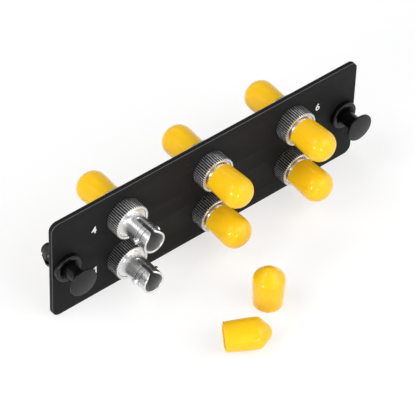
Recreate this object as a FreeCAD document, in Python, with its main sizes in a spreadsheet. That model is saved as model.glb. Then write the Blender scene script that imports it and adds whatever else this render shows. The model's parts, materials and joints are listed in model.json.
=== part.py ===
import FreeCAD, Part
import math
import os
import re

import Sketcher
from FreeCAD import Placement, Rotation, Vector

# Fibre adapter panel: a painted steel plate with six bayonet fibre adapters in two rows of three,
# their knurled nuts and dust caps, and a push-pull latch at each end.
#
# Frame, in millimetres: the origin is the middle of the plate's rear face, which bears on the
# enclosure. +Y points into the enclosure, the front faces -Y, +X is right seen from the front, +Z up.

# Driving sizes. Lengths along an adapter are measured outward from the shoulder named with them.
SIZES = {
    # plate
    "panel_width": 109.0,
    "panel_height": 35.0,
    "panel_thickness": 1.5,
    "panel_corner_radius": 2.5,
    "port_pitch_x": 30.2,
    "port_pitch_z": 15.7,
    "latch_end_distance": 4.7,
    # threaded shank, its D-shaped hole, the hexagonal flange behind the plate
    "shank_diameter": 9.4,
    "shank_flat_depth": 0.6,
    "shank_end_chamfer": 0.15,
    "hole_clearance": 0.15,
    "flange_across_flats": 10.7,
    "flange_thickness": 3.7,
    # knurled nut
    "nut_diameter": 11.05,
    "nut_length": 4.15,
    "nut_clearance": 0.05,
    "nut_chamfer": 0.06,
    "nut_countersink": 0.12,
    "knurl_teeth": 48,
    "knurl_depth": 0.3,
    # bayonet barrel, the same at the front (from the nut) and at the rear (from the flange)
    "barrel_diameter": 7.0,
    "barrel_length": 9.7,
    "socket_diameter": 5.8,
    "socket_depth": 8.7,
    "mouth_chamfer": 0.15,
    "keyway_width": 1.15,
    "keyway_setback": 2.05,
    "keyway_flare_width": 4.5,
    "keyway_flare_depth": 1.1,
    "lug_diameter": 1.8,
    "lug_across": 8.5,
    "lug_setback": 5.95,
    # alignment sleeve between the two sockets, and the spigot that closes it in
    "sleeve_diameter": 3.2,
    "sleeve_bore": 2.5,
    "sleeve_slit": 0.4,
    "sleeve_clearance": 0.03,
    "sleeve_end_play": 0.05,
    "lip_bore": 2.9,
    "lip_thickness": 0.6,
    "spigot_diameter": 6.0,
    "spigot_length": 2.7,
    "spigot_clearance": 0.02,
    # dust cap stretched over a barrel
    "cap_wall": 0.85,
    "cap_clearance": 0.06,
    "cap_standoff": 0.85,
    "cap_swell": 0.32,
    "cap_swell_length": 6.25,
    "cap_end_room": 1.5,
    "cap_end_radius": 3.7,
    "cap_end_wall": 0.9,
    "cap_end_corner": 1.35,
    "cap_lug_relief": 0.12,
    "cap_ridge_wall": 0.35,
    "cap_ridge_radius": 2.2,
    # dust cap lying loose
    "loose_mouth_diameter": 8.45,
    "loose_diameter": 9.15,
    "loose_length": 13.2,
    "loose_taper_length": 6.4,
    "loose_wall": 0.8,
    "loose_shoulder_radius": 2.2,
    "loose_tip_radius": 3.1,
    "loose_end_wall": 1.1,
    "standing_cap_x": -4.0,
    "standing_cap_y": -33.2,
    "lying_cap_x": -24.6,
    "lying_cap_y": -38.85,
    "lying_cap_angle": 58.5,
    # push-pull latch: grommet
    "collar_diameter": 8.65,
    "collar_thickness": 1.6,
    "collar_edge_radius": 0.5,
    "latch_mouth_diameter": 6.6,
    "latch_mouth_depth": 1.1,
    "neck_diameter": 6.2,
    "neck_length": 2.4,
    "barb_diameter": 7.0,
    "barb_rise": 0.7,
    "barb_land": 0.3,
    "leg_length": 6.6,
    "leg_end_diameter": 4.6,
    "leg_slit": 1.2,
    "leg_root": 0.5,
    # push-pull latch: plunger, drawn out
    "latch_travel": 4.0,
    "latch_clearance": 0.12,
    "head_diameter": 8.75,
    "head_projection": 8.3,
    "head_crown": 0.35,
    "head_crown_radius": 24.0,
    "head_rim": 0.55,
    "head_flare_length": 3.0,
    "head_flare_radius": 3.2,
    "stem_diameter": 4.4,
    "stem_reach": 0.3,
    "tail_diameter": 3.0,
    "bead_diameter": 3.7,
    "bead_length": 1.0,
    "bead_chamfer": 0.35,
}

# Stations along Y that several pieces share.
NUT_FACE = "(panel_thickness + nut_length)"
FRONT_MOUTH = f"({NUT_FACE} + barrel_length)"
FRONT_WEB = f"({FRONT_MOUTH} - socket_depth)"
REAR_WEB = "(flange_thickness + barrel_length - socket_depth)"
SLEEVE_LENGTH = f"({FRONT_WEB} + {REAR_WEB} - 2 * lip_thickness - sleeve_end_play)"
CAP_LENGTH = "(barrel_length - cap_standoff + cap_end_room + cap_end_wall)"
LATCH_SPACING = "(panel_width - 2 * latch_end_distance)"

# Ports as they are numbered on the plate: column and row from the middle.
PORTS = {1: (-1, -1), 2: (0, -1), 3: (1, -1), 4: (-1, 1), 5: (0, 1), 6: (1, 1)}
CAPPED_FRONT_PORTS = (2, 3, 5, 6)

doc = FreeCAD.newDocument("fibre_adapter_panel")
sheet = doc.addObject("Spreadsheet::Sheet", "Sizes")
for row, (alias, number) in enumerate(SIZES.items(), start=1):
    sheet.set(f"A{row}", alias)
    sheet.set(f"B{row}", str(number))
    sheet.setAlias(f"B{row}", alias)
doc.recompute()

pieces = []


def bound(text):
    """The expression with every size in it read from the sheet."""
    return re.sub(r"[a-z]\w*", lambda word: "Sizes." + word[0] if word[0] in SIZES else word[0], text)


def value(text):
    """What an expression comes to now, as a number."""
    result = sheet.evalExpression(bound(text))
    return float(getattr(result, "Value", result))


def new_body(name):
    return doc.addObject("PartDesign::Body", name)


def origin_feature(body, role):
    return next(feature for feature in body.Origin.OriginFeatures if feature.Role == role)


def new_sketch(body, name, plane):
    sketch = body.newObject("Sketcher::SketchObject", name)
    sketch.AttachmentSupport = [(origin_feature(body, plane), "")]
    sketch.MapMode = "FlatFace"
    return sketch


def pin(sketch, geometry, point, x, y):
    """Holds a point of a sketch at two expressions, or on an axis where one is zero."""
    for kind, axis, text in (("DistanceX", -2, x), ("DistanceY", -1, y)):
        if text == "0":
            sketch.addConstraint(Sketcher.Constraint("PointOnObject", geometry, point, axis))
            continue
        index = sketch.addConstraint(Sketcher.Constraint(kind, -1, 1, geometry, point, value(text)))
        sketch.setExpression(f"Constraints[{index}]", bound(text))


def size(sketch, geometry, text):
    """Binds a circle's or an arc's radius to an expression."""
    index = sketch.addConstraint(Sketcher.Constraint("Radius", geometry, value(text)))
    sketch.setExpression(f"Constraints[{index}]", bound(text))


def arc_between(start, end, radius, side):
    """The short arc from start to end, with its centre on the left (1) or right (-1) of the chord."""
    chord = end - start
    left = Vector(-chord.y, chord.x, 0).normalize()
    rise = math.sqrt(max(radius**2 - (chord.Length / 2) ** 2, 0))
    centre = (start + end) / 2 + left * rise * side
    first, last = (start, end) if side > 0 else (end, start)
    angles = [math.atan2(spot.y - centre.y, spot.x - centre.x) for spot in (first, last)]
    if angles[1] < angles[0]:
        angles[1] += 2 * math.pi
    return Part.ArcOfCircle(Part.Circle(centre, Vector(0, 0, 1), radius), *angles)


def outline(sketch, corners):
    """A closed outline through corners (x, y). A corner (x, y, radius, side) ends an arc."""
    spots = [Vector(value(corner[0]), value(corner[1]), 0) for corner in corners]
    sides = []
    for index, corner in enumerate(corners):
        start, end = spots[index - 1], spots[index]
        if len(corner) == 2:
            geometry = sketch.addGeometry(Part.LineSegment(start, end))
            sides.append((geometry, 1, 2))
            continue
        radius, side = corner[2:]
        geometry = sketch.addGeometry(arc_between(start, end, value(radius), side))
        size(sketch, geometry, radius)
        sides.append((geometry, 1, 2) if side > 0 else (geometry, 2, 1))
    for index, corner in enumerate(corners):
        geometry, _, end = sides[index]
        following, start, _ = sides[(index + 1) % len(sides)]
        sketch.addConstraint(Sketcher.Constraint("Coincident", geometry, end, following, start))
        pin(sketch, geometry, end, corner[0], corner[1])


def circle(sketch, x, y, radius):
    spot = Vector(value(x), value(y), 0)
    geometry = sketch.addGeometry(Part.Circle(spot, Vector(0, 0, 1), value(radius)))
    pin(sketch, geometry, 3, x, y)
    size(sketch, geometry, radius)


def turned(body, name, corners, kind="Revolution", offset=None):
    """Turns an outline of (radius, y) corners about the Y axis, or about a line offset along X."""
    sketch = new_sketch(body, name + "_profile", "XY_Plane")
    if offset:
        sketch.setExpression("AttachmentOffset.Base.x", bound(offset))
        doc.recompute()
    outline(sketch, corners)
    feature = body.newObject("PartDesign::" + kind, name)
    feature.Profile = sketch
    feature.ReferenceAxis = (sketch, ["V_Axis"])
    feature.Angle = 360
    return feature


def extruded(body, name, sketch, length, kind="Pad", reverse=False, midplane=False):
    feature = body.newObject("PartDesign::" + kind, name)
    feature.Profile = sketch
    feature.Reversed = reverse
    if midplane:
        feature.SideType = "Symmetric"
    feature.setExpression("Length", bound(length))
    return feature


def mirrored(body, name, features, plane):
    feature = body.newObject("PartDesign::Mirrored", name)
    feature.Originals = features
    feature.MirrorPlane = (origin_feature(body, plane), [""])
    body.Tip = feature
    return feature


def place(piece, name, x="0", y="0", z="0"):
    """Lists a piece for export under its name and binds its place to the sheet."""
    piece.Label = name
    for axis, text in zip("xyz", (x, y, z)):
        piece.setExpression("Placement.Base." + axis, bound(text))
    pieces.append(piece)
    return piece


def copy_of(body, name, x="0", y="0", z="0", rotation=Rotation()):
    """One more of a piece that the panel has several of."""
    link = doc.addObject("App::Link", name)
    link.LinkedObject = body
    link.LinkTransform = False
    link.Placement = Placement(Vector(), rotation)
    return place(link, name, x, y, z)


def panel_plate():
    """Stamped plate with D-shaped adapter holes and two round latch holes."""
    body = new_body("panel_plate")
    sketch = new_sketch(body, "plate_outline", "XZ_Plane")
    half_width, half_height = "panel_width / 2", "panel_height / 2"
    outline(sketch, [
        (half_width, half_height),
        ("-" + half_width, half_height),
        ("-" + half_width, "-" + half_height),
        (half_width, "-" + half_height),
    ])
    plate = extruded(body, "plate", sketch, "panel_thickness")
    doc.recompute()
    corners = body.newObject("PartDesign::Fillet", "plate_corners")
    upright = [
        f"Edge{number}"
        for number, edge in enumerate(plate.Shape.Edges, start=1)
        if abs(edge.tangentAt(edge.FirstParameter).y) > 0.9
    ]
    corners.Base = (plate, upright)
    corners.setExpression("Radius", bound("panel_corner_radius"))

    holes = new_sketch(body, "left_port_holes", "XZ_Plane")
    radius = "(shank_diameter / 2 + hole_clearance)"
    flat = "(shank_diameter / 2 - shank_flat_depth + hole_clearance)"
    half_flat = f"sqrt({radius} ^ 2 - {flat} ^ 2)"
    for row in (-1, 1):
        middle = f"{row} * port_pitch_z / 2"
        d_hole(holes, "-port_pitch_x", middle, radius, flat, half_flat)
    column = extruded(body, "left_ports", holes, "panel_thickness * 2", "Pocket", midplane=True)
    ports = body.newObject("PartDesign::LinearPattern", "ports")
    ports.Originals = [column]
    ports.Direction = (origin_feature(body, "X_Axis"), [""])
    ports.setExpression("Length", bound("2 * port_pitch_x"))
    ports.Occurrences = 3
    body.Tip = ports

    hole = new_sketch(body, "left_latch_hole", "XZ_Plane")
    circle(hole, f"-{LATCH_SPACING} / 2", "0", "neck_diameter / 2 + hole_clearance")
    latch = extruded(body, "left_latch", hole, "panel_thickness * 2", "Pocket", midplane=True)
    mirrored(body, "latches", [latch], "YZ_Plane")
    place(body, "panel_plate")


def d_hole(sketch, x, z, radius, flat, half_flat):
    """A round hole about (x, z) with a flat below."""
    centre = Vector(value(x), value(z), 0)
    drop, reach = value(flat), value(half_flat)
    turn = math.atan2(drop, reach)
    rim = Part.Circle(centre, Vector(0, 0, 1), value(radius))
    arc = sketch.addGeometry(Part.ArcOfCircle(rim, -turn, math.pi + turn))
    chord = sketch.addGeometry(
        Part.LineSegment(centre + Vector(-reach, -drop, 0), centre + Vector(reach, -drop, 0))
    )
    sketch.addConstraint(Sketcher.Constraint("Coincident", arc, 2, chord, 1))
    sketch.addConstraint(Sketcher.Constraint("Coincident", chord, 2, arc, 1))
    sketch.addConstraint(Sketcher.Constraint("Horizontal", chord))
    pin(sketch, arc, 3, x, z)
    size(sketch, arc, radius)
    index = sketch.addConstraint(
        Sketcher.Constraint("DistanceY", chord, 1, arc, 3, drop)
    )
    sketch.setExpression(f"Constraints[{index}]", bound(flat))


def barrel_outline(shoulder):
    """Corners of a barrel's outside, from its shoulder out to the middle of its mouth."""
    mouth = f"{shoulder} - barrel_length"
    return [
        ("barrel_diameter / 2", shoulder),
        ("barrel_diameter / 2", f"{mouth} + mouth_chamfer"),
        ("barrel_diameter / 2 - mouth_chamfer", mouth),
        ("0", mouth),
    ]


def bayonet_lugs(body, shoulder):
    """The two round lugs that a connector's bayonet ring turns onto."""
    sketch = new_sketch(body, body.Name + "_lugs_outline", "YZ_Plane")
    circle(sketch, f"{shoulder} - lug_setback", "0", "lug_diameter / 2")
    extruded(body, body.Name + "_lugs", sketch, "lug_across", midplane=True)


def keyway(body, shoulder):
    """The slot in the top of a barrel that takes a connector's key, flared at the mouth."""
    sketch = new_sketch(body, body.Name + "_keyway_outline", "XY_Plane")
    half, flare = "keyway_width / 2", "keyway_flare_width / 2"
    mouth = f"{shoulder} - barrel_length"
    throat = f"{mouth} + keyway_flare_depth"
    end = f"{shoulder} - keyway_setback - {half}"
    outline(sketch, [
        (half, throat),
        (half, end),
        ("0", f"{end} + {half}", half, 1),
        ("-" + half, end, half, 1),
        ("-" + half, throat),
        ("-" + flare, mouth),
        ("-" + flare, f"{mouth} - mouth_chamfer"),
        (flare, f"{mouth} - mouth_chamfer"),
        (flare, mouth),
    ])
    extruded(body, body.Name + "_keyway", sketch, "barrel_diameter", "Pocket", reverse=True)


def front_housing():
    """Front half of an adapter: hexagonal flange, flatted shank, barrel and most of the web."""
    body = new_body("front_housing")
    hexagon = new_sketch(body, "flange_outline", "XZ_Plane")
    flat, point = "flange_across_flats / 2", "flange_across_flats / sqrt(3)"
    outline(hexagon, [
        (point, "0"),
        (f"{point} / 2", flat),
        (f"-{point} / 2", flat),
        ("-" + point, "0"),
        (f"-{point} / 2", "-" + flat),
        (f"{point} / 2", "-" + flat),
    ])
    extruded(body, "flange", hexagon, "flange_thickness", reverse=True)

    shoulder = f"-{NUT_FACE}"
    shank_end = f"{shoulder} + nut_countersink"
    turned(body, "shank_and_barrel", [
        ("0", "0"),
        ("shank_diameter / 2", "0"),
        ("shank_diameter / 2", f"{shank_end} + shank_end_chamfer"),
        ("shank_diameter / 2 - shank_end_chamfer", shank_end),
        ("barrel_diameter / 2", shank_end),
        *barrel_outline(shoulder)[1:],
    ])
    bayonet_lugs(body, shoulder)

    bore = "sleeve_diameter / 2 + sleeve_clearance"
    counterbore = "spigot_diameter / 2 + spigot_clearance"
    seat = "flange_thickness - spigot_length"
    turned(body, "front_bores", [
        ("0", f"-{FRONT_MOUTH}"),
        ("socket_diameter / 2", f"-{FRONT_MOUTH}"),
        ("socket_diameter / 2", f"-{FRONT_WEB}"),
        ("lip_bore / 2", f"-{FRONT_WEB}"),
        ("lip_bore / 2", f"-{FRONT_WEB} + lip_thickness"),
        (bore, f"-{FRONT_WEB} + lip_thickness"),
        (bore, seat),
        (counterbore, seat),
        (counterbore, "flange_thickness"),
        ("0", "flange_thickness"),
    ], "Groove")
    keyway(body, shoulder)

    flat_side = new_sketch(body, "shank_flat_outline", "XZ_Plane")
    low = "-(shank_diameter / 2 - shank_flat_depth)"
    outline(flat_side, [
        ("shank_diameter", low),
        ("-shank_diameter", low),
        ("-shank_diameter", "-shank_diameter"),
        ("shank_diameter", "-shank_diameter"),
    ])
    extruded(body, "shank_flat", flat_side, f"{NUT_FACE} - nut_countersink", "Pocket", reverse=True)
    return body


def rear_housing():
    """Rear half of an adapter: barrel and the spigot that closes the sleeve in. Shoulder at y = 0."""
    body = new_body("rear_housing")
    spigot_end = "(spigot_length - spigot_clearance)"
    turned(body, "spigot_and_barrel", [
        ("0", spigot_end),
        ("spigot_diameter / 2", spigot_end),
        ("spigot_diameter / 2", "0"),
        *barrel_outline("0"),
    ])
    bayonet_lugs(body, "0")
    bore = "sleeve_diameter / 2 + sleeve_clearance"
    web = "-(barrel_length - socket_depth)"
    turned(body, "rear_bores", [
        ("0", "-barrel_length"),
        ("socket_diameter / 2", "-barrel_length"),
        ("socket_diameter / 2", web),
        ("lip_bore / 2", web),
        ("lip_bore / 2", f"{web} + lip_thickness"),
        (bore, f"{web} + lip_thickness"),
        (bore, spigot_end),
        ("0", spigot_end),
    ], "Groove")
    keyway(body, "0")
    return body


def alignment_sleeve():
    """Split sleeve that lines up the two ferrules, its slit facing down."""
    body = new_body("alignment_sleeve")
    front = f"-{FRONT_WEB} + lip_thickness + sleeve_end_play / 2"
    sleeve = turned(body, "sleeve", [
        ("sleeve_bore / 2", front),
        ("sleeve_diameter / 2", front),
        ("sleeve_diameter / 2", f"{front} + {SLEEVE_LENGTH}"),
        ("sleeve_bore / 2", f"{front} + {SLEEVE_LENGTH}"),
    ])
    sleeve.setExpression("Angle", bound("360 deg - 2 * asin(sleeve_slit / sleeve_diameter)"))
    return body


def knurled_nut():
    """Round nut with a straight knurl. Its seat on the plate is y = 0."""
    body = new_body("knurled_nut")
    rim, bore = "nut_diameter / 2", "(shank_diameter / 2 + nut_clearance)"
    turned(body, "nut_blank", [
        (bore, "-nut_countersink"),
        (f"{bore} + nut_countersink", "0"),
        (f"{rim} - nut_chamfer", "0"),
        (rim, "-nut_chamfer"),
        (rim, "-nut_length + nut_chamfer"),
        (f"{rim} - nut_chamfer", "-nut_length"),
        (f"{bore} + nut_countersink", "-nut_length"),
        (bore, "-nut_length + nut_countersink"),
    ])
    sketch = new_sketch(body, "knurl_groove_outline", "XZ_Plane")
    pitch = "pi * nut_diameter / knurl_teeth"
    outline(sketch, [
        ("0", f"{rim} - knurl_depth"),
        (f"{pitch} / 2", f"{rim} + knurl_depth / 4"),
        (f"-{pitch} / 2", f"{rim} + knurl_depth / 4"),
    ])
    groove = extruded(body, "knurl_groove", sketch, "nut_length", "Pocket", reverse=True)
    knurl = body.newObject("PartDesign::PolarPattern", "knurl")
    knurl.Originals = [groove]
    knurl.Axis = (origin_feature(body, "Y_Axis"), [""])
    knurl.Angle = 360
    knurl.setExpression("Occurrences", bound("knurl_teeth"))
    body.Tip = knurl
    return body


def fitted_cap():
    """Vinyl dust cap stretched over a barrel and its lugs. Its mouth is y = 0."""
    body = new_body("fitted_cap")
    inside = "(barrel_diameter / 2 + cap_clearance)"
    widest = f"({inside} + cap_wall + cap_swell)"
    turned(body, "cap_skin", [
        ("0", "0"),
        (f"{inside} + cap_wall", "0"),
        (widest, "-cap_swell_length"),
        (widest, f"-{CAP_LENGTH} + cap_end_radius"),
        (f"{widest} - cap_end_radius", f"-{CAP_LENGTH}", "cap_end_radius", -1),
        ("0", f"-{CAP_LENGTH}"),
    ])
    lug_room = "(lug_across / 2 + cap_lug_relief)"
    ridge = turned(body, "lug_ridge", [
        ("0", "0"),
        ("cap_ridge_radius", "0"),
        ("cap_ridge_radius", "-cap_swell_length"),
        ("0", "-cap_swell_length"),
    ], offset=f"{lug_room} + cap_ridge_wall - cap_ridge_radius")
    mirrored(body, "lug_ridges", [ridge], "YZ_Plane")

    end = f"-{CAP_LENGTH} + cap_end_wall"
    turned(body, "cap_cavity", [
        ("0", "0"),
        (inside, "0"),
        (inside, f"{end} + cap_end_corner"),
        (f"{inside} - cap_end_corner", end),
        ("0", end),
    ], "Groove")
    sketch = new_sketch(body, "lug_channel_outline", "XY_Plane")
    reach = "-(lug_setback - cap_standoff + lug_diameter / 2 + cap_lug_relief)"
    outline(sketch, [
        (lug_room, "0"),
        ("-" + lug_room, "0"),
        ("-" + lug_room, reach),
        (lug_room, reach),
    ])
    extruded(body, "lug_channel", sketch, "lug_diameter + 2 * cap_lug_relief", "Pocket", midplane=True)
    return body


def loose_cap():
    """Dust cap as dipped: narrower at its mouth, with a coned end and a round tip. Its mouth is y = 0."""
    body = new_body("loose_cap")
    mouth, widest = "loose_mouth_diameter / 2", "loose_diameter / 2"
    # The cone stands at 45 degrees and touches the shoulder's arc and the tip's.
    end = f"(loose_length - {widest} + (loose_tip_radius - loose_shoulder_radius) * (sqrt(2) - 1))"
    neck = "loose_shoulder_radius * (1 - sqrt(2) / 2)"
    drop = "loose_shoulder_radius * sqrt(2) / 2"
    inner_radius = "(loose_shoulder_radius - loose_wall)"
    inner_neck = f"({widest} - loose_wall - {inner_radius} * (1 - sqrt(2) / 2))"
    inner_drop = f"({end} + {inner_radius} * sqrt(2) / 2)"
    floor = "(loose_length - loose_end_wall)"
    turned(body, "loose_skin", [
        (mouth, "0"),
        (widest, "-loose_taper_length"),
        (widest, f"-{end}"),
        (f"{widest} - {neck}", f"-{end} - {drop}", "loose_shoulder_radius", -1),
        ("loose_tip_radius * sqrt(2) / 2", "-loose_length + loose_tip_radius * (1 - sqrt(2) / 2)"),
        ("0", "-loose_length", "loose_tip_radius", -1),
        ("0", f"-{floor}"),
        (f"{inner_neck} - ({floor} - {inner_drop})", f"-{floor}"),
        (inner_neck, f"-{inner_drop}"),
        (f"{widest} - loose_wall", f"-{end}", inner_radius, 1),
        (f"{widest} - loose_wall", "-loose_taper_length"),
        (f"{mouth} - loose_wall", "0"),
    ])
    return body


def latch_grommet():
    """Nylon grommet: collar in front of the plate, four barbed legs behind it."""
    body = new_body("latch_grommet")
    bore = "(stem_diameter / 2 + latch_clearance)"
    tail_bore = "(tail_diameter / 2 + latch_clearance)"
    front = "-(panel_thickness + collar_thickness)"
    step = "(stem_reach + latch_travel + 2 * latch_clearance)"
    rim = "collar_diameter / 2"
    turned(body, "grommet", [
        (bore, f"{front} + latch_mouth_depth"),
        ("latch_mouth_diameter / 2", front),
        (f"{rim} - collar_edge_radius", front),
        (rim, f"{front} + collar_edge_radius", "collar_edge_radius", 1),
        (rim, "-panel_thickness"),
        ("neck_diameter / 2", "-panel_thickness"),
        ("neck_diameter / 2", "neck_length"),
        ("barb_diameter / 2", "neck_length + barb_rise"),
        ("barb_diameter / 2", "neck_length + barb_rise + barb_land"),
        ("leg_end_diameter / 2", "leg_length"),
        (tail_bore, "leg_length"),
        (tail_bore, f"{step} + stem_diameter / 2 - tail_diameter / 2"),
        (bore, step),
    ])
    sketch = new_sketch(body, "leg_slit_outline", "XY_Plane")
    outline(sketch, [
        ("leg_slit / 2", "leg_root"),
        ("leg_slit / 2", "leg_length + leg_slit"),
        ("-leg_slit / 2", "leg_length + leg_slit"),
        ("-leg_slit / 2", "leg_root"),
    ])
    slit = extruded(body, "leg_slit_across", sketch, "2 * barb_diameter", "Pocket", midplane=True)
    slits = body.newObject("PartDesign::PolarPattern", "leg_slits")
    slits.Originals = [slit]
    slits.Axis = (origin_feature(body, "Y_Axis"), [""])
    slits.Angle = 180
    slits.Occurrences = 3
    body.Tip = slits
    return body


def latch_plunger():
    """Nylon plunger, drawn out until its bead meets the ends of the grommet's legs."""
    body = new_body("latch_plunger")
    front = "-(panel_thickness + head_projection)"
    rim = "head_diameter / 2"
    bead = "(leg_length + latch_clearance)"
    turned(body, "plunger", [
        ("0", front),
        (rim, f"{front} + head_crown", "head_crown_radius", 1),
        (rim, f"{front} + head_crown + head_rim"),
        ("stem_diameter / 2", f"{front} + head_crown + head_rim + head_flare_length", "head_flare_radius", -1),
        ("stem_diameter / 2", "stem_reach"),
        ("tail_diameter / 2", "stem_reach + stem_diameter / 2 - tail_diameter / 2"),
        ("tail_diameter / 2", bead),
        ("bead_diameter / 2", bead),
        ("bead_diameter / 2", f"{bead} + bead_length - bead_chamfer"),
        ("bead_diameter / 2 - bead_chamfer", f"{bead} + bead_length"),
        ("0", f"{bead} + bead_length"),
    ])
    return body


def adapters():
    """The six adapters, each with its nut, sleeve and caps."""
    front, rear, sleeve = front_housing(), rear_housing(), alignment_sleeve()
    nut, cap = knurled_nut(), fitted_cap()
    turned_round = Rotation(Vector(0, 0, 1), 180)
    for port, (column, row) in PORTS.items():
        x, z = f"{column} * port_pitch_x", f"{row} * port_pitch_z / 2"
        copy_of(front, f"front_housing_{port}", x, "0", z)
        copy_of(rear, f"rear_housing_{port}", x, "flange_thickness", z, turned_round)
        copy_of(sleeve, f"alignment_sleeve_{port}", x, "0", z)
        copy_of(nut, f"knurled_nut_{port}", x, "-panel_thickness", z)
        copy_of(cap, f"rear_cap_{port}", x, "flange_thickness + cap_standoff", z, turned_round)
        if port in CAPPED_FRONT_PORTS:
            copy_of(cap, f"front_cap_{port}", x, f"-({NUT_FACE} + cap_standoff)", z)


def loose_caps():
    """The two caps taken off ports 1 and 4: one stands on its mouth, one lies on its side."""
    cap = loose_cap()
    floor = "-panel_height / 2"
    upright = Rotation(Vector(1, 0, 0), -90)
    copy_of(cap, "loose_cap_standing", "standing_cap_x", "standing_cap_y", floor, upright)
    lean = "atan((loose_diameter - loose_mouth_diameter) / 2 / loose_taper_length)"
    turn = Rotation(Vector(0, 0, 1), value("lying_cap_angle"))
    tip_up = Rotation(Vector(1, 0, 0), -value(lean))
    height = f"{floor} + loose_mouth_diameter / 2 * cos({lean})"
    copy_of(cap, "loose_cap_lying", "lying_cap_x", "lying_cap_y", height, turn * tip_up)


def latches():
    """A push-pull latch at each end of the plate."""
    grommet, plunger = latch_grommet(), latch_plunger()
    for side, sign in (("left", -1), ("right", 1)):
        copy_of(grommet, f"{side}_latch_grommet", f"{sign} * {LATCH_SPACING} / 2")
        copy_of(plunger, f"{side}_latch_plunger", f"{sign} * {LATCH_SPACING} / 2")


def export():
    """Checks the document and every piece, then writes one file for each piece."""
    doc.recompute()
    failed = [thing.Label for thing in doc.Objects if {"Invalid", "Error"} & set(thing.State)]
    if failed:
        raise RuntimeError("these did not compute: " + ", ".join(failed))
    shapes = {piece.Label: Part.getShape(piece) for piece in pieces}
    for name, shape in shapes.items():
        if shape.isNull() or not shape.isValid() or len(shape.Solids) != 1:
            raise RuntimeError(name + " is not one sound solid")
    os.makedirs("parts", exist_ok=True)
    for name, shape in shapes.items():
        shape.exportStep(f"parts/{name}.step")
        print(f"{name}: {shape.Volume:.3f} mm3")


panel_plate()
adapters()
loose_caps()
latches()
export()
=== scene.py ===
import json
import math

import bmesh
import bpy
from mathutils import Matrix, Vector
from mathutils.geometry import tessellate_polygon

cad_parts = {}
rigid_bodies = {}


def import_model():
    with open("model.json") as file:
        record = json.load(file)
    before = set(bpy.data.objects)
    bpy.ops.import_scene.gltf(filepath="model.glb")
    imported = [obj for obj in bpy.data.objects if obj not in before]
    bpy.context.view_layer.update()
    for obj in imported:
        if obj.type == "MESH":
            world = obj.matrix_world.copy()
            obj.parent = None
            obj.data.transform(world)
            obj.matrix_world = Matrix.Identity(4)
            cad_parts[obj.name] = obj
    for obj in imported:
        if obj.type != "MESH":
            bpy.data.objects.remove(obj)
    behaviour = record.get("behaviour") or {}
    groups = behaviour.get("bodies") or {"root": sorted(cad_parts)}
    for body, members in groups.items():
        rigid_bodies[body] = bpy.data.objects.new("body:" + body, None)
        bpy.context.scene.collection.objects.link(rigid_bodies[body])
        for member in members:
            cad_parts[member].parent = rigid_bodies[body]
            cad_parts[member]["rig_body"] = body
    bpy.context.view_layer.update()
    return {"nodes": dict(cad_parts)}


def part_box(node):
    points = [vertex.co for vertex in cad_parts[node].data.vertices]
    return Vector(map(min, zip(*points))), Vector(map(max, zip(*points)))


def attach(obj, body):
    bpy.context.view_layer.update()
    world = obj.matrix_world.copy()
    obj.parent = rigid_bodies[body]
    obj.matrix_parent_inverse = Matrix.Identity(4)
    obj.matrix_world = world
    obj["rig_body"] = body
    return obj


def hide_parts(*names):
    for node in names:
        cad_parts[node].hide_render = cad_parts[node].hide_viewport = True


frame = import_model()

bl_info = {
    "name": "Fibre adapter panel",
    "version": (1, 0, 0),
    "blender": (4, 5, 0),
    "location": "View3D > Sidebar > Adapter panel",
    "description": "Dresses the packed fibre adapter panel and lights it on a pale floor",
    "category": "Object",
}

# The frame is in metres: +X along the plate, +Y into the enclosure, +Z up, origin on the plate's rear face.
MM = 0.001
QUARTER_TURN = math.pi / 2
FULL_TURN = 2 * math.pi
SHARP_ANGLE = math.radians(38)
# Points nearer than this are one point, and lengths that differ by less than a hair count as the same.
SAME_SPOT = 1e-4 * MM
HAIR = 0.01 * MM
# Two fillets take up at most this share of the side between them.
FILLET_SHARE = 0.98
# Blender's wave texture runs through so many radians a unit at a scale of 1.
WAVE_RADIANS = 20

PLATE_LOW, PLATE_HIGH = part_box("panel_plate")
NUT_LOW, NUT_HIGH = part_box("knurled_nut_1")
HOUSING_LOW, HOUSING_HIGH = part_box("front_housing_1")
CAP_LOW, CAP_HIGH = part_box("front_cap_2")
PLUNGER_LOW, PLUNGER_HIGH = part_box("left_latch_plunger")
FLOOR_Z = PLATE_LOW.z
PORTS = (1, 2, 3, 4, 5, 6)
CAPPED_FRONT_PORTS = (2, 3, 5, 6)
# Ports with a printed number, and whether it stands left (-1) or right (1) of them.
NUMBERED_PORTS = {1: -1, 4: -1, 3: 1, 6: 1}
LATCH_SIDES = ("left", "right")
# The drop on a cap's end is drawn out to so many times its radius, and only so deep into the end.
DRIP_SPREADS = 3
DRIP_SKIN = 0.8 * MM


def linear(hex_colour):
    """Turns an sRGB hex colour into the linear values that Blender's colours hold."""
    parts = [int(hex_colour[i:i + 2], 16) / 255 for i in (1, 3, 5)]
    return [c / 12.92 if c <= 0.04045 else ((c + 0.055) / 1.055) ** 2.4 for c in parts]


def length(name, description, default, low=0.0):
    """A length in metres that a user may change."""
    return bpy.props.FloatProperty(
        name=name, description=description, default=default, min=low, precision=5,
        subtype="DISTANCE", unit="LENGTH",
    )


def direction(name, description, degrees):
    """An angle that a user may change."""
    return bpy.props.FloatProperty(
        name=name, description=description, default=math.radians(degrees), subtype="ANGLE", unit="ROTATION"
    )


def colour(name, description, hex_colour):
    """A colour that a user may change."""
    return bpy.props.FloatVectorProperty(
        name=name, description=description, default=linear(hex_colour), min=0, max=1, subtype="COLOR"
    )


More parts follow.
